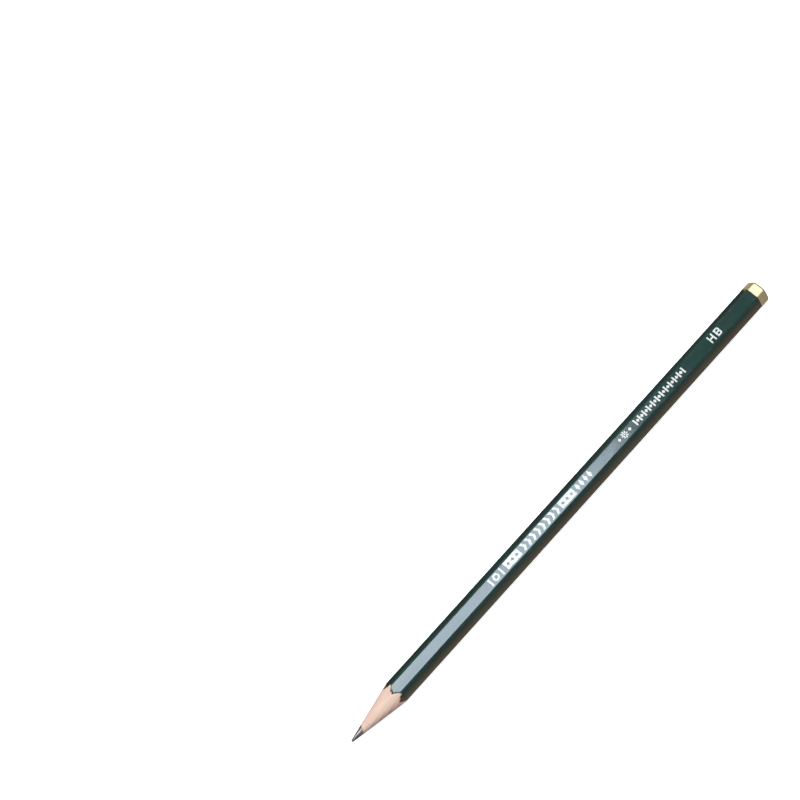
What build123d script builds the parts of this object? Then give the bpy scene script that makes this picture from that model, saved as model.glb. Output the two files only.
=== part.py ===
from build123d import *

import math
import os

# Hexagonal graphite drawing pencil, sharpened, lying on one facet with its point towards -X.
#
# It is built up as a wood-cased pencil is: two grooved cedar slats are glued together round the
# lead, shaped to a hexagon, lacquered, dipped in gold lacquer at the rear end, foil stamped on
# one facet, and sharpened.
#
# Millimetres, +Z up. The origin is under the middle of the pencil's length, on the surface that
# it lies on. A station is a distance along the pencil from the foremost point of the lead.

# ---- Driving dimensions ----------------------------------------------------------------------

length = 175.0
across_flats = 6.7  # over the lacquer
corner_radius = 0.85  # over the lacquer
coat_thickness = 0.1

lead_diameter = 2.2
lead_offset = 0.13  # towards +Y: a lead is seldom quite in the middle
glue_thickness = 0.06  # between the slats, and between the lead and its groove

point_half_angle = 10.4  # degrees
point_radius = 0.38

end_face_radius = 2.7  # flat left by the 45 degree bevel on the rear end, under the gold

cap_length = 3.65
cap_film = 0.05  # how far the gold lacquer stands proud of the green
dip_bite = 0.01  # how deep the dip's solvent eats into the green coat under it
cap_end_thickness = 0.6
cap_crown = 0.5  # height of the domed end, from its middle to the facets
cap_edge_radius = 0.8

foil_thickness = 0.02
foil_pocket_depth = 0.03
mark_height = 2.4
mark_offset = 0.15  # the stamps sit a little to the left of the facet's middle

# Stations of the middles of the stamped marks.
badge_station = 60.5
panel_stations = (67.4, 90.7)
chevron_station = 79.2
lozenge_station = 97.7
rosette_station = 115.5
border_station = 130.5
letter_h_station = 153.4
letter_b_station = 156.1

# ---- Worked out from them --------------------------------------------------------------------

axis_height = across_flats / 2 + cap_film
lead_radius = lead_diameter / 2
groove_radius = lead_radius + glue_thickness
wood_flats = across_flats - 2 * coat_thickness
wood_corner_radius = corner_radius - coat_thickness
cap_flats = across_flats + 2 * cap_film
cap_corner_radius = corner_radius + cap_film
bitten_flats = across_flats - 2 * dip_bite
bitten_corner_radius = corner_radius - dip_bite
body_end = length - cap_end_thickness
dip_start = length - cap_length

sharpening_allowance = 1.0  # stock in front of the finished point
stock_length = body_end + sharpening_allowance

# ---- Planes and the pencil's axis ------------------------------------------------------------


def cross_plane(station):
    """The plane square across the pencil at a station, with its own x along +Y and y along +Z."""
    return Plane(origin=(station - length / 2, 0, axis_height), x_dir=(0, 1, 0), z_dir=(1, 0, 0))


pencil_axis = Axis((0, 0, axis_height), (1, 0, 0))
stock_plane = cross_plane(-sharpening_allowance)
joint_plane = Plane.XY.offset(axis_height)
long_plane = Plane(origin=(-length / 2, 0, axis_height), x_dir=(1, 0, 0), z_dir=(0, -1, 0))
foil_floor = axis_height + across_flats / 2 - foil_pocket_depth
foil_plane = Plane(origin=(-length / 2, mark_offset, foil_floor))


def hexagon(flats, radius):
    """Draw a hexagon with rounded corners and a flat side up in the open sketch."""
    RegularPolygon(radius=flats / 2, side_count=6, major_radius=False)
    fillet(vertices(), radius=radius)


# ---- What sharpening and bevelling leave: a nose, a cone, the shank and a bevelled rear end --

envelope_radius = across_flats
slope = math.radians(point_half_angle)
apex_station = point_radius - point_radius / math.sin(slope)
cone_end_station = apex_station + envelope_radius / math.tan(slope)
bevel_start = body_end - (envelope_radius - end_face_radius)

with BuildPart() as turned_envelope:
    with BuildSketch(long_plane):
        with BuildLine():
            nose = CenterArc((point_radius, 0), point_radius, 90 + point_half_angle, 90 - point_half_angle)
            flank = Line(nose @ 0, (cone_end_station, envelope_radius))
            bevel = Line((bevel_start, envelope_radius), (body_end, end_face_radius))
            Line(flank @ 1, bevel @ 0)
            Polyline(bevel @ 1, (body_end, 0), nose @ 1)
        make_face()
    revolve(axis=pencil_axis)

# ---- Foil marks: outlines on the floor of their pockets, x being the station ------------------

half_mark = mark_height / 2
panel_width = 5.9
lozenge_half_width = 0.65
small_lozenge = 0.55

with BuildSketch(foil_plane) as ornament_outline:
    # Hexagon ring between two bars.
    with Locations((badge_station, 0)):
        RegularPolygon(radius=half_mark, side_count=6)
        RegularPolygon(radius=half_mark / 2, side_count=6, mode=Mode.SUBTRACT)
        with GridLocations(4.5, 0, 2, 1):
            Rectangle(0.6, mark_height)
    # Two panels with three lozenges left open in each.
    for panel_station in panel_stations:
        with Locations((panel_station, 0)):
            Rectangle(panel_width, mark_height)
            with GridLocations(panel_width * 0.3, 0, 3, 1):
                RegularPolygon(radius=small_lozenge, side_count=4, mode=Mode.SUBTRACT)
    # Row of chevrons between the panels.
    with Locations((chevron_station, 0)):
        with GridLocations(2.0, 0, 8, 1):
            Polygon(
                (-0.75, half_mark),
                (0.1, half_mark),
                (0.75, 0),
                (0.1, -half_mark),
                (-0.75, -half_mark),
                (-0.1, 0),
                align=None,
            )
    # Row of lozenges behind the second panel.
    with Locations((lozenge_station, 0)):
        with GridLocations(1.7, 0, 4, 1):
            Polygon(
                (-lozenge_half_width, 0),
                (0, half_mark),
                (lozenge_half_width, 0),
                (0, -half_mark),
                align=None,
            )
    # Rosette of petals with a small lozenge at each side.
    with Locations((rosette_station, 0)):
        with PolarLocations(0.78, 8):
            Ellipse(0.4, 0.2)
        Circle(0.22)
        with GridLocations(4.4, 0, 2, 1):
            RegularPolygon(radius=small_lozenge, side_count=4)
    # Long border of slim bars with small lozenges between them.
    with Locations((border_station, 0)):
        with GridLocations(1.88, 0, 12, 1):
            Rectangle(0.5, 0.85 * mark_height)
        with GridLocations(1.88, 0, 11, 1):
            RegularPolygon(radius=small_lozenge, side_count=4)

stroke = 0.45
letter_h_width = 1.95
letter_b_width = 1.8
lobe_height = half_mark + stroke / 2
lobe_offset = half_mark - lobe_height / 2
lobe_radius = 0.45 * lobe_height
hole_width = letter_b_width - 2 * stroke
hole_height = lobe_height - 2 * stroke

with BuildSketch(foil_plane) as grade_outline:
    # The letter H.
    with Locations((letter_h_station, 0)):
        with GridLocations(letter_h_width - stroke, 0, 2, 1):
            Rectangle(stroke, mark_height)
        Rectangle(letter_h_width, stroke)
    # The letter B: two rounded lobes, a straight stem and two holes.
    with Locations((letter_b_station, lobe_offset), (letter_b_station, -lobe_offset)):
        RectangleRounded(letter_b_width, lobe_height, lobe_radius)
    with Locations((letter_b_station - letter_b_width / 2 + stroke, 0)):
        Rectangle(2 * stroke, mark_height)
    with Locations((letter_b_station, lobe_offset), (letter_b_station, -lobe_offset)):
        RectangleRounded(hole_width, hole_height, 0.4 * hole_height, mode=Mode.SUBTRACT)

# ---- Lead ------------------------------------------------------------------------------------

with BuildPart() as graphite_lead:
    with BuildSketch(stock_plane):
        with Locations((lead_offset, 0)):
            Circle(lead_radius)
    extrude(amount=stock_length)
    add(turned_envelope.part, mode=Mode.INTERSECT)

# ---- Cedar slats -----------------------------------------------------------------------------

with BuildPart() as upper_slat:
    with BuildSketch(stock_plane):
        hexagon(wood_flats, wood_corner_radius)
    extrude(amount=stock_length)
    split(bisect_by=joint_plane.offset(glue_thickness / 2), keep=Keep.TOP)
    with BuildSketch(stock_plane):
        with Locations((lead_offset, 0)):
            Circle(groove_radius)
    extrude(amount=stock_length, mode=Mode.SUBTRACT)
    add(turned_envelope.part, mode=Mode.INTERSECT)

with BuildPart() as lower_slat:
    mirror(upper_slat.part, about=joint_plane)

# ---- Glue: a film between the slats and a sleeve round the lead ------------------------------

with BuildPart() as glue_film:
    with BuildSketch(stock_plane):
        Rectangle(2 * across_flats, glue_thickness)
        with Locations((lead_offset, 0)):
            Circle(groove_radius)
            Circle(lead_radius, mode=Mode.SUBTRACT)
    extrude(amount=stock_length)
    with BuildSketch(stock_plane):
        hexagon(wood_flats, wood_corner_radius)
    extrude(amount=stock_length, mode=Mode.INTERSECT)
    add(turned_envelope.part, mode=Mode.INTERSECT)

# ---- Green lacquer: a thin hexagonal sleeve whose front edge the sharpener scallops ----------

with BuildPart() as lacquer_coat:
    with BuildSketch(stock_plane):
        hexagon(across_flats, corner_radius)
    extrude(amount=dip_start + sharpening_allowance)
    with BuildSketch(cross_plane(dip_start)):
        hexagon(bitten_flats, bitten_corner_radius)
    extrude(amount=body_end - dip_start)
    with BuildSketch(stock_plane):
        hexagon(wood_flats, wood_corner_radius)
    extrude(amount=stock_length, mode=Mode.SUBTRACT)
    add(turned_envelope.part, mode=Mode.INTERSECT)
    extrude(ornament_outline.sketch, amount=foil_pocket_depth, mode=Mode.SUBTRACT)
    extrude(grade_outline.sketch, amount=foil_pocket_depth, mode=Mode.SUBTRACT)

# ---- Gold lacquer dip over the rear end ------------------------------------------------------

with BuildPart() as dipped_end:
    with BuildSketch(cross_plane(dip_start)):
        hexagon(bitten_flats, bitten_corner_radius)
    extrude(amount=body_end - dip_start)
    add(turned_envelope.part, mode=Mode.INTERSECT)

crown_radius = ((cap_flats / 2) ** 2 + cap_crown**2) / (2 * cap_crown)

with BuildPart() as end_cap:
    with BuildSketch(cross_plane(dip_start)):
        hexagon(cap_flats, cap_corner_radius)
    extrude(amount=cap_length)
    with Locations((length / 2 - crown_radius, 0, axis_height)):
        Sphere(crown_radius, mode=Mode.INTERSECT)
    fillet(faces().sort_by(Axis.X)[-1].edges(), radius=cap_edge_radius)
    add(dipped_end.part, mode=Mode.SUBTRACT)

# ---- Foil marks ------------------------------------------------------------------------------

with BuildPart() as foil_ornament:
    extrude(ornament_outline.sketch, amount=foil_thickness)

with BuildPart() as foil_grade_mark:
    extrude(grade_outline.sketch, amount=foil_thickness)

# ---- Write one STEP file for each piece ------------------------------------------------------

pieces = {
    "graphite_lead": graphite_lead,
    "upper_slat": upper_slat,
    "lower_slat": lower_slat,
    "glue_film": glue_film,
    "lacquer_coat": lacquer_coat,
    "end_cap": end_cap,
    "foil_ornament": foil_ornament,
    "foil_grade_mark": foil_grade_mark,
}

os.makedirs("parts", exist_ok=True)
for label, piece in pieces.items():
    piece.part.label = label
    export_step(piece.part, f"parts/{label}.step")
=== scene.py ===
import math

import bmesh
import bpy
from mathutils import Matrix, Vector, geometry, noise


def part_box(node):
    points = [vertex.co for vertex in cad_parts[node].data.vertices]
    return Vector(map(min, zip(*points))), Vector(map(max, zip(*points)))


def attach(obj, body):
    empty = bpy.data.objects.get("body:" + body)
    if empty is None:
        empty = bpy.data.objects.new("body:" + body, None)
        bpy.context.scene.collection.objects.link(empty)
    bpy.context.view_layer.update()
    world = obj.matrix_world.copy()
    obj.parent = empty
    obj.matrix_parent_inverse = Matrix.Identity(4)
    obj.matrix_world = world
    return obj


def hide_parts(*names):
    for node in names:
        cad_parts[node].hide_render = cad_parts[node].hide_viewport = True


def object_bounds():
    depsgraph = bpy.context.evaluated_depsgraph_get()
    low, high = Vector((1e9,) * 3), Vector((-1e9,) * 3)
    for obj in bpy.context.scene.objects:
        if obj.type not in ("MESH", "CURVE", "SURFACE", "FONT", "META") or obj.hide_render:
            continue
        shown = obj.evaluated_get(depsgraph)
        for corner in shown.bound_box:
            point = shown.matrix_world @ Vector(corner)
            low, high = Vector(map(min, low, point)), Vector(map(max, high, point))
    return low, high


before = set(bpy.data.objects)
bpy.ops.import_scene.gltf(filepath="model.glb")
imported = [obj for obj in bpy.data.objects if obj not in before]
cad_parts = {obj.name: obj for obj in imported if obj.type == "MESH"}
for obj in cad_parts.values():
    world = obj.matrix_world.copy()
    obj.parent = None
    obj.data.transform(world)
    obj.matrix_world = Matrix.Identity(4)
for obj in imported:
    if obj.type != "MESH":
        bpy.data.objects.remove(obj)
cad_low, cad_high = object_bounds()

# The looks of a hexagonal graphite pencil that lies on one facet with its point towards -X.
# Metres, +Z up. A cross-section's points are (y, z) measured from the pencil's axis.

MM = 0.001

# ---- Sizes read from the frame ---------------------------------------------------------------

coat_low, coat_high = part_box("lacquer_coat")
slat_low, slat_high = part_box("upper_slat")
lead_low, lead_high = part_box("graphite_lead")
cap_low, cap_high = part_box("end_cap")
glue_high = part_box("glue_film")[1]
foil_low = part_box("foil_ornament")[0]
grade_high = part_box("foil_grade_mark")[1]

axis_z = (coat_low.z + coat_high.z) / 2
coat_half = (coat_high.z - coat_low.z) / 2
wood_half = slat_high.z - axis_z
cap_half = (cap_high.z - cap_low.z) / 2
lead_radius = (lead_high.z - lead_low.z) / 2
lead_centre = Vector(((lead_low.y + lead_high.y) / 2, 0))
groove_radius = glue_high.z - axis_z
glue_half = slat_low.z - axis_z
point_x = lead_low.x
body_end_x = slat_high.x
end_face_radius = wood_half - (body_end_x - coat_high.x)

# The slats' foremost points are where the groove comes nearest to the axis, beside the glue film.
nearest_wood = math.hypot(math.sqrt(groove_radius**2 - glue_half**2) - lead_centre.x, glue_half)
cone_slope = (wood_half - nearest_wood) / (coat_low.x - slat_low.x)
apex_x = slat_low.x - nearest_wood / cone_slope
nose_radius = (point_x - apex_x) / (1 / math.sin(math.atan(cone_slope)) - 1)

coat_corner = 0.85 * MM  # radius of the lacquered corners
wood_corner = coat_corner - (coat_half - wood_half)
cap_corner = coat_corner + (cap_half - coat_half)

# ---- How finely the meshes are divided -------------------------------------------------------

CORNER_STEPS = 16
FLAT_STEPS = 36
LEAD_STEPS = 96

MERGE_DISTANCE = 1e-7
SLIVER_LENGTH = 1e-8
SHARP_ANGLE = math.radians(35)


def cone_x(radius):
    """Where along X the sharpened cone has a radius."""
    return apex_x + radius / cone_slope


def rear_x(radius):
    """Where along X the bevelled rear end has a radius."""
    return body_end_x - max(0.0, radius - end_face_radius)


def on_end_face(point):
    """The point itself, or the nearest one on the flat that the rear bevel leaves."""
    return point * min(1.0, end_face_radius / point.length)


# ---- Cross-sections and skins ----------------------------------------------------------------


def hexagon(half_flats, corner_radius):
    """A rounded hexagon, flat side up, anticlockwise from the middle of its +Y corner."""
    reach = (half_flats - corner_radius) / math.cos(math.pi / 6)
    corners = []
    for corner in range(6):
        middle = math.pi / 3 * corner
        arc = []
        for step in range(CORNER_STEPS + 1):
            turn = middle + math.pi / 3 * (step / CORNER_STEPS - 0.5)
            arc.append(Vector((reach * math.cos(middle) + corner_radius * math.cos(turn),
                               reach * math.sin(middle) + corner_radius * math.sin(turn))))
        corners.append(arc)
    points = []
    for corner, arc in enumerate(corners):
        following = corners[(corner + 1) % 6]
        flat = [arc[-1].lerp(following[0], step / FLAT_STEPS) for step in range(1, FLAT_STEPS)]
        points += arc + flat
    start = CORNER_STEPS // 2
    return points[start:] + points[:start]


def circle(radius, steps):
    """A circle, anticlockwise from +Y."""
    turns = [math.tau * step / steps for step in range(steps)]
    return [Vector((radius * math.cos(turn), radius * math.sin(turn))) for turn in turns]


def ring_at(x, section):
    """A ring of 3-D points: one section at one x, or each point at its own x."""
    places = x if isinstance(x, list) else [x] * len(section)
    return [Vector((place, point.x, axis_z + point.y)) for place, point in zip(places, section)]


def wobble(place, size, seed):
    """Smooth noise between about -1 and 1, with features of one size. Each seed reads its own part."""
    return noise.noise(Vector(place) / size + Vector((seed, 1.7 * seed, 0.3)))


class Skin:
    """A mesh built from rings that all have the same number of points."""

    def __init__(self, name):
        self.name = name
        self.mesh = bmesh.new()
        self.rings = []

    def ring(self, points):
        """Add a ring of vertices. It has no faces until it is joined."""
        self.rings.append([self.mesh.verts.new(point) for point in points])
        return self.rings[-1]

    def face(self, corners, slot=0):
        """Add a face, if its corners are enough to span one."""
        if len(set(corners)) > 2:
            made = self.mesh.faces.new(corners)
            made.material_index = slot
            made.smooth = True

    def join(self, first, second, slot=0, skip=()):
        """Add a band of faces between two rings."""
        count = len(first)
        for at in range(count):
            if at not in skip:
                after = (at + 1) % count
                self.face([first[at], first[after], second[after], second[at]], slot)

    def join_all(self):
        """Join each ring to the next."""
        for first, second in zip(self.rings, self.rings[1:]):
            self.join(first, second)

    def fan(self, ring, point):
        """Close a ring with triangles that meet at a point."""
        pole = self.mesh.verts.new(point)
        for at in range(len(ring)):
            self.face([ring[at], ring[(at + 1) % len(ring)], pole])

    def sharpen(self, ring):
        """Keep the shading broken across a ring that has been joined."""
        for at in range(len(ring)):
            edge = self.mesh.edges.get((ring[at], ring[(at + 1) % len(ring)]))
            if edge:
                edge.smooth = False

    def finish(self, materials, replaces):
        """Make the object, riding on the root body in place of a CAD node."""
        bmesh.ops.remove_doubles(self.mesh, verts=self.mesh.verts, dist=MERGE_DISTANCE)
        bmesh.ops.dissolve_degenerate(self.mesh, edges=self.mesh.edges, dist=SLIVER_LENGTH)
        bmesh.ops.recalc_face_normals(self.mesh, faces=self.mesh.faces)
        for edge in self.mesh.edges:
            if len(edge.link_faces) == 2 and edge.calc_face_angle() > SHARP_ANGLE:
                edge.smooth = False
        data = bpy.data.meshes.new(self.name)
        self.mesh.to_mesh(data)
        self.mesh.free()
        for material in materials:
            data.materials.append(material)
        piece = bpy.data.objects.new(self.name, data)
        bpy.context.scene.collection.objects.link(piece)
        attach(piece, "root")
        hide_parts(replaces)
        return piece


# ---- Procedural materials --------------------------------------------------------------------

# Nearly all of a noise texture's values lie between these two.
NOISE_LOW = 0.3
NOISE_HIGH = 0.7

# A Mix node has sockets for each kind of data. These are the ones it uses for colours.
MIX_SHARE = 0
MIX_FIRST = 6
MIX_SECOND = 7
MIX_RESULT = 2


def with_alpha(value):
    """A colour of three parts with its alpha added, and any other value as it is."""
    if isinstance(value, tuple) and len(value) == 3:
        return (*value, 1)
    return value


class Recipe:
    """A node material. Its textures are laid out in millimetres along the object's own axes."""

    def __init__(self, name):
        self.material = bpy.data.materials.new(name)
        self.material.use_nodes = True
        self.tree = self.material.node_tree
        self.tree.nodes.clear()
        self.output = self.tree.nodes.new("ShaderNodeOutputMaterial")

    def node(self, kind, inputs=None, **settings):
        """Add a node. Its inputs are sockets to link from, or plain values."""
        made = self.tree.nodes.new(kind)
        for key, value in settings.items():
            setattr(made, key, value)
        for key, value in (inputs or {}).items():
            if isinstance(value, bpy.types.NodeSocket):
                self.tree.links.new(value, made.inputs[key])
            else:
                made.inputs[key].default_value = value
        return made

    def mapping(self, vector, **inputs):
        return self.node("ShaderNodeMapping", {"Vector": vector, **inputs}).outputs[0]

    def place(self, stretch=(1, 1, 1), turn=0.0):
        """Coordinates in millimetres, turned about X and then scaled."""
        here = self.node("ShaderNodeTexCoord").outputs["Object"]
        sized = self.mapping(here, Scale=(1 / MM, 1 / MM, 1 / MM))
        turned = self.mapping(sized, Rotation=(turn, 0, 0))
        return self.mapping(turned, Scale=stretch)

    def along(self, letter):
        """The distance in millimetres along one of the object's axes."""
        return self.node("ShaderNodeSeparateXYZ", {0: self.place()}).outputs[letter]

    def noise(self, scale, stretch=(1, 1, 1), detail=3.0, roughness=0.5, distortion=0.0, turn=0.0):
        inputs = {"Vector": self.place(stretch, turn), "Scale": scale, "Detail": detail,
                  "Roughness": roughness, "Distortion": distortion}
        return self.node("ShaderNodeTexNoise", inputs).outputs["Fac"]

    def spread(self, value, low=NOISE_LOW, high=NOISE_HIGH, to_low=0.0, to_high=1.0):
        """Carry low..high to to_low..to_high, with the ends held."""
        inputs = {"Value": value, "From Min": low, "From Max": high,
                  "To Min": to_low, "To Max": to_high}
        return self.node("ShaderNodeMapRange", inputs).outputs[0]

    def ramp(self, value, stops):
        """Turn a value into a colour, given as pairs of a place from 0 to 1 and a colour."""
        made = self.node("ShaderNodeValToRGB", {"Fac": value})
        elements = made.color_ramp.elements
        while len(elements) < len(stops):
            elements.new(0.5)
        for element, (at, colour) in zip(elements, stops):
            element.position = at
            element.color = with_alpha(colour)
        return made.outputs["Color"]

    def between(self, value, first, second):
        """Run from one colour to another over nearly all of a noise texture's values."""
        return self.ramp(self.spread(value), [(0, first), (1, second)])

    def times(self, first, second):
        return self.node("ShaderNodeMath", {0: first, 1: second}, operation="MULTIPLY").outputs[0]

    def plus(self, first, second):
        return self.node("ShaderNodeMath", {0: first, 1: second}, operation="ADD").outputs[0]

    def mix(self, share, first, second):
        """Mix two colours."""
        inputs = {MIX_SHARE: share, MIX_FIRST: with_alpha(first), MIX_SECOND: with_alpha(second)}
        return self.node("ShaderNodeMix", inputs, data_type="RGBA").outputs[MIX_RESULT]

    def bump(self, height, depth, under=None):
        """Relief of a depth in metres between heights 0 and 1."""
        inputs = {"Height": height, "Distance": depth, "Strength": 1.0}
        if under is not None:
            inputs["Normal"] = under
        return self.node("ShaderNodeBump", inputs).outputs[0]

    def attribute(self, name):
        return self.node("ShaderNodeAttribute", attribute_name=name).outputs["Fac"]

    def surface(self, **inputs):
        """Finish with a Principled shader, its inputs named with underscores for spaces."""
        named = {key.replace("_", " "): with_alpha(value) for key, value in inputs.items()}
        shader = self.node("ShaderNodeBsdfPrincipled", named)
        self.tree.links.new(shader.outputs[0], self.output.inputs["Surface"])
        return self.material


def green_lacquer():
    """Deep green gloss lacquer with a faint orange peel, rubbing marks and wear on its corners."""
    made = Recipe("green_lacquer")
    worn_tint = 0.35
    scratch_dulling = 0.06
    wear_dulling = 0.12
    cloud = made.noise(scale=0.22, stretch=(0.35, 1, 1), detail=4)
    green = made.between(cloud, (0.002, 0.021, 0.015), (0.004, 0.033, 0.026))
    rubbing = made.noise(scale=5.0, stretch=(0.05, 1, 1), detail=2, distortion=0.4)
    scratches = made.spread(rubbing, low=0.62, high=0.72)
    patches = made.spread(made.noise(scale=1.6, stretch=(0.3, 1, 1)), low=0.5, high=0.7)
    tint_share = made.times(made.attribute("corner"), patches)
    colour = made.mix(made.times(tint_share, worn_tint), green, (0.03, 0.06, 0.045))
    handling = made.noise(scale=0.12, detail=5, roughness=0.6)
    rough = made.spread(handling, low=0.35, high=0.7, to_low=0.07, to_high=0.13)
    rough = made.plus(rough, made.times(scratches, scratch_dulling))
    rough = made.plus(rough, made.times(tint_share, wear_dulling))
    peel = made.bump(made.noise(scale=0.9, stretch=(0.6, 1, 1), detail=2), depth=2.2e-6)
    relief = made.bump(scratches, depth=4e-7, under=peel)
    return made.surface(Base_Color=colour, Roughness=rough, IOR=1.5, Normal=relief)


def cut_lacquer():
    """The lacquer's cut edge, dull and uneven in colour."""
    made = Recipe("green_lacquer_cut")
    chatter = made.noise(scale=6.0, detail=4)
    tone = made.spread(chatter, low=0.35, high=0.65)
    colour = made.ramp(tone, [(0, (0.003, 0.018, 0.012)), (1, (0.010, 0.034, 0.023))])
    rough = made.spread(chatter, to_low=0.35, to_high=0.6)
    relief = made.bump(chatter, depth=1.2e-5)
    return made.surface(Base_Color=colour, Roughness=rough, Specular_IOR_Level=0.25, Normal=relief)


def cedar(name, turn, pale, middle, dark):
    """Cedar: growth rings and fibres run along the pencil, and the sharpener leaves fine ridges."""
    made = Recipe(name)
    ring_share = 0.45
    pore_share = 0.42
    warm_tint = (0.78, 0.60, 0.42)
    pore_colour = (0.42, 0.22, 0.15)
    rings = made.node("ShaderNodeTexWave", {
        "Vector": made.place((0.012, 1, 1), turn), "Scale": 0.55, "Distortion": 0.7, "Detail": 2.0,
        "Detail Scale": 0.5}, bands_direction="Y", wave_profile="SAW").outputs["Fac"]
    latewood = made.spread(rings, low=0.45, high=0.95)
    fibres = made.noise(scale=10.0, stretch=(0.03, 1, 1), detail=5, roughness=0.65, turn=turn)
    streaks = made.noise(scale=3.2, stretch=(0.02, 1, 1), detail=3, roughness=0.6, turn=turn)
    tone = made.plus(made.times(latewood, ring_share), made.times(streaks, 1 - ring_share))
    body = made.ramp(made.spread(tone, low=0.26, high=0.66), [(0, pale), (0.5, middle), (1, dark)])
    drift = made.noise(scale=0.4, stretch=(0.15, 1, 1), detail=2, turn=turn)
    warm = made.mix(made.spread(drift, low=0.4, high=0.65, to_high=0.5), body, warm_tint)
    pores = made.spread(fibres, low=0.57, high=0.68)
    colour = made.mix(made.times(pores, pore_share), warm, pore_colour)
    rough = made.spread(fibres, to_low=0.55, to_high=0.8)
    ridges = made.noise(scale=5.5, stretch=(1, 0.06, 0.06), detail=2)
    grain = made.bump(fibres, depth=1.6e-5)
    relief = made.bump(ridges, depth=8e-6, under=grain)
    return made.surface(Base_Color=colour, Roughness=rough, IOR=1.45, Normal=relief)


def graphite():
    """Ground graphite: a grey sheen with fine rings from the blade, and a colour that darkens towards
    the point.
    """
    made = Recipe("graphite")
    marks = made.noise(scale=14.0, stretch=(1, 0.08, 0.08), detail=3, roughness=0.6)
    speckle = made.noise(scale=11.0, detail=4)
    ground = made.between(speckle, (0.165, 0.150, 0.157), (0.26, 0.236, 0.246))
    # The colour darkens over the last few millimetres towards the point.
    darkest_until = point_x / MM + 0.5
    undarkened_from = point_x / MM + 3.0
    tint_share = made.spread(made.along("X"), low=darkest_until, high=undarkened_from, to_low=0.45, to_high=0.0)
    colour = made.mix(tint_share, ground, (0.05, 0.048, 0.05))
    rough = made.spread(marks, to_low=0.26, to_high=0.40)
    relief = made.bump(speckle, depth=4e-6, under=made.bump(marks, depth=6e-6))
    return made.surface(Base_Color=colour, Metallic=0.85, Roughness=rough, Normal=relief)


def dried_glue():
    """Dried wood glue, darker where dust has stuck in it."""
    made = Recipe("dried_glue")
    patches = made.noise(scale=4.0, stretch=(0.3, 1, 1), detail=3)
    colour = made.between(patches, (0.30, 0.17, 0.10), (0.52, 0.34, 0.22))
    rough = made.spread(patches, to_low=0.4, to_high=0.65)
    relief = made.bump(patches, depth=5e-6)
    return made.surface(Base_Color=colour, Roughness=rough, IOR=1.48, Normal=relief)


def gold_lacquer():
    """Gold lacquer: metallic pigment in a clear dip, slightly uneven, with fine flakes."""
    made = Recipe("gold_lacquer")
    flakes = made.noise(scale=22.0, detail=2)
    sag = made.noise(scale=0.9, detail=2)
    colour = made.between(flakes, (0.44, 0.33, 0.13), (0.58, 0.45, 0.20))
    rough = made.spread(made.noise(scale=1.3, detail=4), to_low=0.38, to_high=0.48)
    relief = made.bump(flakes, depth=1.5e-6, under=made.bump(sag, depth=8e-6))
    return made.surface(Base_Color=colour, Metallic=0.9, Roughness=rough, Coat_Weight=1.0,
                        Coat_Roughness=0.3, Coat_IOR=2.0, Normal=relief)


def stamping_foil():
    """Pale gold hot-stamping foil that has not taken in a few specks."""
    made = Recipe("stamping_foil")
    crinkle = made.noise(scale=7.0, detail=4)
    missed = made.spread(made.noise(scale=5.0, detail=5, roughness=0.7), low=0.55, high=0.60)
    shine = made.between(crinkle, (0.40, 0.41, 0.39), (0.58, 0.57, 0.53))
    colour = made.mix(missed, shine, (0.02, 0.06, 0.045))
    metal = made.spread(missed, low=0, high=1, to_low=1, to_high=0)
    rough = made.spread(crinkle, to_low=0.40, to_high=0.50)
    relief = made.bump(crinkle, depth=3e-6)
    return made.surface(Base_Color=colour, Metallic=metal, Roughness=rough, Normal=relief)


def floor_paper():
    """Plain white studio paper that also glows, so that it is nearly free of shadows."""
    made = Recipe("studio_floor")
    tooth = made.noise(scale=1.5, detail=3)
    colour = made.ramp(tooth, [(0, (0.86, 0.85, 0.83)), (1, (0.90, 0.89, 0.87))])
    return made.surface(Base_Color=colour, Roughness=0.9, IOR=1.3, Emission_Color=(1, 1, 1),
                        Emission_Strength=0.75)


def glowing_card(name, stops):
    """Plain card that glows in colours which change along Y, given as places in millimetres."""
    made = Recipe(name)
    first, last = stops[0][0], stops[-1][0]
    shares = [((place - first) / (last - first), colour) for place, colour in stops]
    colour = made.ramp(made.spread(made.along("Y"), low=first, high=last), shares)
    return made.surface(Base_Color=(0, 0, 0), Roughness=1.0, Emission_Color=colour,
                        Emission_Strength=1.5)


# ---- Lead ------------------------------------------------------------------------------------


def make_lead():
    """A rod a little off the pencil's axis, with a ground cone and a small nose, rounded off by wear.
    """
    nose_edge = nose_radius * math.cos(math.atan(cone_slope))
    nose_steps = 14
    cone_steps = 26
    nose_share = nose_edge / lead_radius
    rest_share = 1 - nose_share
    shares = [nose_share * step / nose_steps for step in range(1, nose_steps + 1)]
    shares += [nose_share + rest_share * step / cone_steps for step in range(1, cone_steps + 1)]
    rim = [lead_centre + point for point in circle(lead_radius, LEAD_STEPS)]
    wear = 0.016 * MM
    even_wear = 0.6  # next to noise between -1 and 1
    wear_size = 0.3 * MM

    def front_x(point):
        radius = point.length
        if radius > nose_edge:
            return cone_x(radius)
        return point_x + nose_radius - math.sqrt(nose_radius**2 - radius**2)

    skin = Skin("graphite_lead_ground")
    for share in shares:
        section = [point * share for point in rim]
        fade = wear * math.sin(math.pi * share)
        places = [front_x(point) + fade * (even_wear + wobble((*point, 0), wear_size, seed=3))
                  for point in section]
        skin.ring(ring_at(places, section))
    skin.ring(ring_at(body_end_x, rim))
    skin.join_all()
    skin.sharpen(skin.rings[-2])
    skin.fan(skin.rings[0], Vector((point_x, 0, axis_z)))
    skin.fan(skin.rings[-1], Vector((body_end_x, lead_centre.x, axis_z)))
    skin.finish([graphite()], "graphite_lead")


# ---- Slats -----------------------------------------------------------------------------------


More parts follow.
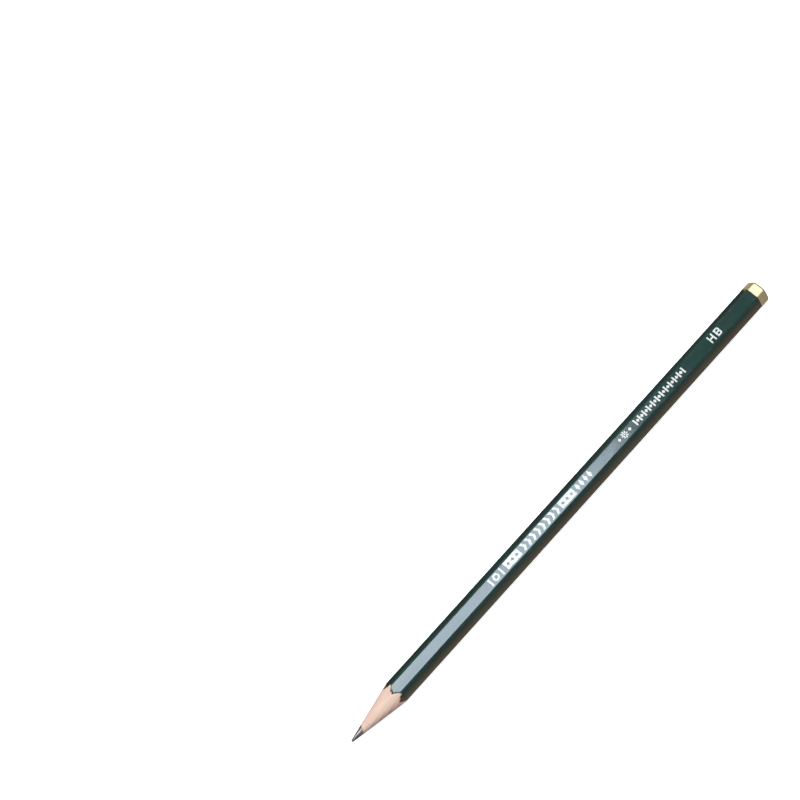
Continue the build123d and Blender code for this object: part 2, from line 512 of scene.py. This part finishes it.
def make_slat(name, node, side, seed, material):
    """One grooved slat, cut to the cone in front and bevelled behind. Side 1 is up and -1 down."""
    half = hexagon(wood_half, wood_corner)
    half = half[: len(half) // 2 + 1]
    cone_steps = 40
    tear_depth = 0.014 * MM
    even_tear = 0.5  # next to noise between -1 and 1
    tear_size = 0.8 * MM
    tears_per_x = 3  # the tears are this many times shorter along the pencil than across it

    def on_this_side(point):
        return Vector((point.x, side * max(point.y, glue_half)))

    def torn(point, x, fade):
        unevenness = wobble((tears_per_x * x, *point), tear_size, seed)
        return point * (1 - fade * (even_tear + unevenness) / point.length)

    outline = [on_this_side(point) for point in half]
    groove = [on_this_side(lead_centre + point.normalized() * groove_radius) for point in half]
    skin = Skin(name)

    def loop(outer, places):
        return skin.ring(ring_at([*places, *reversed(places)], [*outer, *reversed(groove)]))

    for step in range(cone_steps + 1):
        share = step / cone_steps
        cut = [inner.lerp(outer, share) for inner, outer in zip(groove, outline)]
        places = [cone_x(point.length) for point in cut]
        fade = tear_depth * math.sin(math.pi * share)
        loop([torn(point, x, fade) for point, x in zip(cut, places)], places)
    loop(outline, [rear_x(point.length) for point in outline])
    last = loop([on_end_face(point) for point in outline], [body_end_x] * len(outline))
    skin.join_all()
    for at in range(len(half) - 1):
        skin.face([last[at], last[at + 1], last[-2 - at], last[-1 - at]])
    skin.sharpen(skin.rings[cone_steps])
    skin.finish([material], node)


# ---- Glue ------------------------------------------------------------------------------------


def make_glue():
    """The film between the slats and the sleeve round the lead, cut as the slats are."""
    reach = (wood_half - wood_corner) / math.cos(math.pi / 6) + wood_corner
    arc_steps = 28
    start = math.asin(glue_half / groove_radius)
    turns = [start + (math.pi - 2 * start) * step / arc_steps for step in range(arc_steps + 1)]
    spokes = [*turns, *[turn + math.pi for turn in turns]]
    directions = [Vector((math.cos(turn), math.sin(turn))) for turn in spokes]
    sleeve = [lead_centre + groove_radius * direction for direction in directions]
    bore = [lead_centre + lead_radius * direction for direction in directions]
    arc_starts = (0, arc_steps + 1)
    wing_tips = {0: (reach, glue_half), arc_steps: (-reach, glue_half),
                 arc_steps + 1: (-reach, -glue_half), 2 * arc_steps + 1: (reach, -glue_half)}
    outer, inner = [], []
    for at, (point, opposite) in enumerate(zip(sleeve, bore)):
        tip = [Vector(wing_tips[at])] if at in wing_tips else []
        outer += [*tip, point] if at in arc_starts else [point, *tip]
        inner += [opposite, opposite] if tip else [opposite]
    skin = Skin("glue_film_cured")
    skin.ring(ring_at([cone_x(point.length) for point in outer], outer))
    skin.ring(ring_at([rear_x(point.length) for point in outer], outer))
    skin.ring(ring_at(body_end_x, [on_end_face(point) for point in outer]))
    skin.ring(ring_at(body_end_x, inner))
    skin.ring(ring_at([cone_x(point.length) for point in inner], inner))
    skin.join_all()
    skin.join(skin.rings[-1], skin.rings[0])
    for ring in skin.rings:
        skin.sharpen(ring)
    skin.finish([dried_glue()], "glue_film")


# ---- Lacquer coat ----------------------------------------------------------------------------


def chipping(point):
    """How far the blade has flaked the lacquer back at a point of the outline."""
    tooth_size = 0.3 * MM
    flake_size = 0.9 * MM
    tooth_depth = 1.3  # both depths are millimetres, where the noise is 1
    flake_depth = 0.5
    shift = 0.05  # makes the small teeth commoner and the large flakes rarer
    teeth = max(0.0, wobble((*point, 0), tooth_size, seed=5) + shift)
    flakes = max(0.0, wobble((*point, 0), flake_size, seed=8) - shift)
    return (tooth_depth * teeth + flake_depth * flakes) * MM


def foil_triangles():
    """The top faces of the foil marks, as lists of three (x, y) corners in millimetres."""
    found = []
    for node in ("foil_ornament", "foil_grade_mark"):
        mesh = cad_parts[node].data
        mesh.calc_loop_triangles()
        lowest = max(vert.co.z for vert in mesh.vertices) - 0.001 * MM
        for triangle in mesh.loop_triangles:
            corners = [mesh.vertices[at].co for at in triangle.vertices]
            if min(corner.z for corner in corners) > lowest:
                found.append([Vector((corner.x, corner.y)) / MM for corner in corners])
    return found


def stamped_patch(skin, front, rear):
    """Fill the top flat between two rows of vertices, with a pocket under each foil mark."""
    digits = 4  # of a millimetre, to find the rows' own vertices again
    inside_only = 1  # the kind of result: triangles inside the border
    tolerance = 1e-5
    row = [*front, *reversed(rear)]
    flat = [Vector((vert.co.x, vert.co.y)) / MM for vert in row]
    border = [(at, (at + 1) % len(flat)) for at in range(len(flat))]
    triangles = []
    for corners in foil_triangles():
        start = len(flat)
        flat += corners
        triangles.append([start, start + 1, start + 2])
    points, _, faces, _, _, sources = geometry.delaunay_2d_cdt(
        flat, border, triangles, inside_only, tolerance)
    known = {(round(vert.co.x / MM, digits), round(vert.co.y / MM, digits)): vert for vert in row}
    upper, lower = {}, {}
    walls = set()

    def at_top(at):
        if at not in upper:
            key = (round(points[at].x, digits), round(points[at].y, digits))
            place = Vector((points[at].x * MM, points[at].y * MM, coat_high.z))
            upper[at] = known.get(key) or skin.mesh.verts.new(place)
        return upper[at]

    def at_floor(at):
        if at not in lower:
            place = Vector((points[at].x * MM, points[at].y * MM, foil_low.z))
            lower[at] = skin.mesh.verts.new(place)
        return lower[at]

    for face, source in zip(faces, sources):
        if source:
            skin.face([at_floor(at) for at in face])
            walls.update((face[at], face[(at + 1) % len(face)]) for at in range(len(face)))
        else:
            skin.face([at_top(at) for at in face])
    for first, second in walls:
        if (second, first) not in walls:
            skin.face([at_floor(first), at_floor(second), at_top(second), at_top(first)])


def make_coat():
    """The lacquer sleeve, its front edge scalloped by the cone, chipped and rolled over."""
    outer = hexagon(coat_half, coat_corner)
    inner = hexagon(wood_half, wood_corner)
    chips = [chipping(point) for point in outer]
    outer_chip_share = 0.7  # the flakes undercut the lacquer
    roll_depth = 0.014 * MM
    roll_length = 0.16 * MM
    roll_steps = 5
    outer_set_back = 0.56 * MM  # at the middles of the facets
    inner_set_back = 0.40 * MM
    margin = 1.2 * MM
    corner_reach = max(point.length for point in inner)
    nearness = [(corner_reach - point.length) / (corner_reach - wood_half) for point in inner]
    edge = hexagon(coat_half - roll_depth, coat_corner - roll_depth)
    edge_x = [cone_x(point.length) + outer_set_back * share + outer_chip_share * chip
              for point, share, chip in zip(edge, nearness, chips)]
    skin = Skin("lacquer_coat_glossy")
    for step in range(roll_steps + 1):
        turn = math.pi / 2 * step / roll_steps
        drop = roll_depth * (1 - math.sin(turn))
        along = roll_length * (1 - math.cos(turn))
        section = hexagon(coat_half - drop, coat_corner - drop)
        skin.ring(ring_at([x + along for x in edge_x], section))
    front = skin.rings[0]
    rolled = skin.rings[-1]
    before = skin.ring(ring_at(foil_low.x - margin, outer))
    behind = skin.ring(ring_at(grade_high.x + margin, outer))
    rear = skin.ring(ring_at([rear_x(point.length) for point in outer], outer))
    inner_rear = skin.ring(ring_at([rear_x(point.length) for point in inner], inner))
    inner_x = [cone_x(point.length) + inner_set_back * share + chip
               for point, share, chip in zip(inner, nearness, chips)]
    inner_front = skin.ring(ring_at(inner_x, inner))
    top_first = CORNER_STEPS // 2 + FLAT_STEPS + CORNER_STEPS
    top_last = top_first + FLAT_STEPS
    for first, second in zip(skin.rings[:roll_steps], skin.rings[1:]):
        skin.join(first, second)
    skin.join(rolled, before)
    skin.join(before, behind, skip=range(top_first, top_last))
    skin.join(behind, rear)
    skin.join(rear, inner_rear)
    skin.join(inner_rear, inner_front)
    skin.join(inner_front, front, slot=1)
    for ring in (front, rear, inner_rear, inner_front):
        skin.sharpen(ring)
    stamped_patch(skin, before[top_first:top_last + 1], behind[top_first:top_last + 1])
    piece = skin.finish([green_lacquer(), cut_lacquer()], "lacquer_coat")
    mark_corners(piece)


def mark_corners(piece):
    """Give each vertex a number that rises from 0 to 1 as the sleeve's corners are reached."""
    starts = coat_half * 1.06
    rises_over = coat_half * 0.04
    corner = piece.data.attributes.new("corner", "FLOAT", "POINT")
    for vert, value in zip(piece.data.vertices, corner.data):
        away = Vector((vert.co.y, vert.co.z - axis_z)).length
        value.value = max(0.0, min(1.0, (away - starts) / rises_over))


# ---- Gold dip --------------------------------------------------------------------------------


def make_cap():
    """The dipped end: a film with a rolled front lip, a rounded rim and a domed end."""
    wall = cap_half - coat_half
    rim_radius = 0.8 * MM
    crown = 0.5 * MM
    crown_radius = (cap_half**2 + crown**2) / (2 * crown)
    lip_length = 0.12 * MM
    lip_waver = 0.05 * MM
    even_waver = 0.7  # next to noise between -1 and 1
    waver_size = 1.6 * MM
    lip_steps = 6
    rim_steps = 10
    crown_steps = 9
    inside = hexagon(coat_half, coat_corner)

    def crown_x(point):
        return cap_high.x - crown_radius + math.sqrt(crown_radius**2 - point.length_squared)

    skin = Skin("end_cap_dipped")
    skin.ring(ring_at(body_end_x, [on_end_face(point) for point in inside]))
    skin.ring(ring_at([rear_x(point.length) for point in inside], inside))
    skin.ring(ring_at(cap_low.x, inside))
    for step in range(1, lip_steps + 1):
        turn = math.pi / 2 * step / lip_steps
        rise = wall * math.sin(turn)
        back = cap_low.x + lip_length * (1 - math.cos(turn))
        section = hexagon(coat_half + rise, coat_corner + rise)
        waver = [even_waver + wobble((*point, 0), waver_size, seed=4) for point in section]
        skin.ring(ring_at([back + lip_waver * ahead for ahead in waver], section))
    inset = hexagon(cap_half - rim_radius, cap_corner - rim_radius)
    rim = [crown_x(point) - rim_radius for point in inset]
    for step in range(rim_steps + 1):
        turn = math.pi / 2 * step / rim_steps
        narrowing = rim_radius * (1 - math.cos(turn))
        section = hexagon(cap_half - narrowing, cap_corner - narrowing)
        skin.ring(ring_at([x + rim_radius * math.sin(turn) for x in rim], section))
    for step in range(1, crown_steps):
        section = [point * (1 - step / crown_steps) for point in inset]
        skin.ring(ring_at([crown_x(point) for point in section], section))
    skin.join_all()
    for ring in skin.rings[:3]:
        skin.sharpen(ring)
    skin.fan(skin.rings[0], Vector((body_end_x, 0, axis_z)))
    skin.fan(skin.rings[-1], Vector((cap_high.x, 0, axis_z)))
    skin.finish([gold_lacquer()], "end_cap")


upper_cedar = cedar("cedar_upper", turn=0.25, pale=(0.71, 0.50, 0.43), middle=(0.66, 0.445, 0.37),
                    dark=(0.54, 0.33, 0.265))
lower_cedar = cedar("cedar_lower", turn=1.9, pale=(0.65, 0.47, 0.35), middle=(0.59, 0.40, 0.28),
                    dark=(0.46, 0.30, 0.19))
make_lead()
make_slat("upper_slat_cedar", "upper_slat", side=1, seed=11, material=upper_cedar)
make_slat("lower_slat_cedar", "lower_slat", side=-1, seed=23, material=lower_cedar)
make_glue()
make_coat()
make_cap()

foil = stamping_foil()
for node_name in ("foil_ornament", "foil_grade_mark"):
    for material_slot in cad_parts[node_name].material_slots:
        material_slot.material = foil

# ---- Floor, wall and cards -------------------------------------------------------------------


def stage_object(name, corners, faces, material):
    """Something in the studio that is not part of the pencil."""
    data = bpy.data.meshes.new(name)
    data.from_pydata(corners, [], faces)
    data.materials.append(material)
    made = bpy.data.objects.new(name, data)
    bpy.context.scene.collection.objects.link(made)
    return made


def stage_plane(name, z, right_side, left_side, material):
    """A level plane given by its -Y side and its +Y side, each (y, from x, to x)."""
    right_y, right_from, right_to = right_side
    left_y, left_from, left_to = left_side
    corners = [(right_from, right_y, z), (right_to, right_y, z),
               (left_to, left_y, z), (left_from, left_y, z)]
    return stage_object(name, corners, [(0, 1, 2, 3)], material)


def stage_wall(name, z, radius, height, material):
    """A round wall that stands at one height."""
    sides = 48
    ring = circle(radius, sides)
    corners = [(point.x, point.y, z) for point in ring]
    corners += [(point.x, point.y, z + height) for point in ring]
    faces = [(at, (at + 1) % sides, sides + (at + 1) % sides, sides + at) for at in range(sides)]
    return stage_object(name, corners, faces, material)


def plain_card(name, colour):
    """A card that glows in one colour."""
    return glowing_card(name, [(-1, colour), (1, colour)])


# The camera alone sees the white floor and wall. Besides the lights and the sky, what shines on
# the pencil and is mirrored in it is glowing cards just under the floor, darker and of other
# colours: painted reflections and painted shade that stand in for a row of pencils, since a pencil
# that lies in a row of pencils does not have white paper close by all round.
PAINTED_SHADE_BLACK = (0, 0, 0)
PAINTED_SHADE_DARK = (0.05, 0.04, 0.04)
PAINTED_GLOW_GREY = (0.40, 0.40, 0.40)
gap = 0.01 * MM
far = 4  # how far the floor and the cards reach
wall_radius = 3.9
wall_height = 5
floor_z = cad_low.z - gap
card_z = floor_z - gap
floor = stage_plane("studio_floor", floor_z, (-far, -far, far), (far, -far, far), floor_paper())
white_card = plain_card("studio_wall", (0.8, 0.8, 0.8))
wall = stage_wall("studio_wall", floor_z, wall_radius, wall_height, white_card)
for seen_only in (floor, wall):
    seen_only.visible_diffuse = False
    seen_only.visible_glossy = False
wall.visible_shadow = False

# Painted reflections and painted shade beside the lacquer: black and dark on the +Y side where the gap
# beside a neighbouring pencil would be, and a bright warm band on the -Y side that the facets on that
# side mirror.
row_reflection_card = glowing_card("row_reflection_card", [
    (-60, PAINTED_GLOW_GREY), (-30, (0.12, 0.08, 0.20)), (-26, (0.13, 0.06, 0.25)), (-20, (0.38, 0.30, 0.22)),
    (-14, (1.15, 0.70, 0.45)), (-2, (0.20, 0.15, 0.12)), (2, PAINTED_SHADE_BLACK), (6, PAINTED_SHADE_BLACK), (8, PAINTED_SHADE_DARK),
    (12, PAINTED_SHADE_DARK), (60, PAINTED_GLOW_GREY)])
# Painted shade beside the point: dark close to the pencil, so that the wood and the lead come out
# darker on their flanks.
point_shade_card = glowing_card("point_shade_card", [
    (-60, (0.30, 0.30, 0.30)), (-20, (0.20, 0.14, 0.09)), (-2, (0.08, 0.05, 0.03)), (12, PAINTED_SHADE_DARK),
    (60, PAINTED_GLOW_GREY)])
# Painted reflections beside the gold end: a brown glow on the +Y side and grey on the -Y side, for the
# gold's side facets to mirror.
end_reflection_card = glowing_card("end_reflection_card", [
    (-60, (0.34, 0.34, 0.32)), (-3, (0.26, 0.26, 0.25)), (3, (0.42, 0.34, 0.20)), (60, PAINTED_GLOW_GREY)])
# A near-black glowing card: a painted dark reflection.
dark_reflection_card = plain_card("dark_reflection_card", (0.02, 0.02, 0.02))

# The row's cards lie beside the lacquer and the end's cards beside the gold. On the right the edge
# between them runs off at a slant, and the pencil mirrors it where the gold starts.
edge_slant = 0.42
front_x = coat_low.x
near_x = cap_low.x - 2.2 * MM
far_x = near_x + edge_slant * far
left_x = cap_low.x + 2.5 * MM
stage_plane("point_shade_card", card_z, (-far, -far, front_x), (far, -far, front_x), point_shade_card)
stage_plane("row_card_right", card_z, (-far, front_x, far_x), (0, front_x, near_x), row_reflection_card)
stage_plane("end_card_right", card_z, (-far, far_x, far), (0, near_x, far), end_reflection_card)
stage_plane("row_card_left", card_z, (0, front_x, left_x), (far, front_x, left_x), row_reflection_card)
stage_plane("end_card_left", card_z, (0, left_x, far), (far, left_x, far), end_reflection_card)

# A dark strip lies on the cards behind the gold end: painted shade that the gold's rounded rim mirrors
# as a thin dark arc.
strip_z = card_z + gap / 2
strip_right = -6 * MM
strip_left = 40 * MM
strip_x = cap_high.x + 3 * MM
strip_end_x = strip_x + 100 * MM
stage_plane("dark_arc_reflection_strip", strip_z, (strip_right, strip_x, strip_end_x),
            (strip_left, strip_x, strip_end_x), dark_reflection_card)

# ---- Camera ----------------------------------------------------------------------------------

view_azimuth = math.radians(-49.4)
view_elevation = math.radians(68.1)
camera_distance = 1.3446
aside = 0.0439  # how far right of the picture's middle the pencil's middle is
below = 0.0306  # and how far below it
middle = (cad_low + cad_high) / 2
back = Vector((math.sin(view_azimuth) * math.cos(view_elevation),
               -math.cos(view_azimuth) * math.cos(view_elevation), math.sin(view_elevation)))
right = Vector((0, 0, 1)).cross(back).normalized()
up = back.cross(right)

camera_data = bpy.data.cameras.new("camera")
camera_data.lens = 220
camera_data.sensor_width = 36
camera = bpy.data.objects.new("camera", camera_data)
camera.location = middle + back * camera_distance - right * aside + up * below
camera.rotation_mode = "QUATERNION"
camera.rotation_quaternion = (-back).to_track_quat("-Z", "Y")
bpy.context.scene.collection.objects.link(camera)
bpy.context.scene.camera = camera

# ---- Lights and world ------------------------------------------------------------------------


def softbox(name, place, target, size, radiance, colour, mirrored=True):
    """A rectangular studio light of a given size and radiance, turned to its target."""
    data = bpy.data.lights.new(name, "AREA")
    data.shape = "RECTANGLE"
    data.size, data.size_y = size
    data.energy = radiance * math.pi * size[0] * size[1]
    data.color = colour
    made = bpy.data.objects.new(name, data)
    made.location = place
    made.rotation_mode = "QUATERNION"
    made.rotation_quaternion = (Vector(target) - Vector(place)).to_track_quat("-Z", "Y")
    made.visible_glossy = mirrored
    bpy.context.scene.collection.objects.link(made)


# The lacquer's top facet mirrors this box from the point to a little past the middle.
softbox("overhead_softbox", place=(0.093, 0.175, 0.8), target=(0.093, 0.175, 0),
        size=(0.39, 0.12), radiance=12.5, colour=(0.74, 0.86, 1.0))
# This one is past what the lacquer's top facet mirrors, and the duller gold still catches it.
softbox("rear_softbox", place=(0.55, 0.175, 0.8), target=(0.55, 0.175, 0),
        size=(0.2, 0.2), radiance=12, colour=(0.90, 0.96, 1.0))
softbox("key_softbox", place=(-0.15, 0.45, 1.0), target=middle,
        size=(0.6, 0.6), radiance=5.6, colour=(1.0, 0.96, 0.9))
softbox("fill_softbox", place=(0, 0, 1.6), target=middle,
        size=(2.4, 2.4), radiance=0.5, colour=(1.0, 1.0, 1.0), mirrored=False)

world = bpy.data.worlds.new("studio")
world.use_nodes = True
background = world.node_tree.nodes["Background"]
background.inputs["Color"].default_value = (0.86, 0.92, 1.0, 1)
background.inputs["Strength"].default_value = 0.5
bpy.context.scene.world = world
bpy.context.scene.view_settings.view_transform = "Standard"
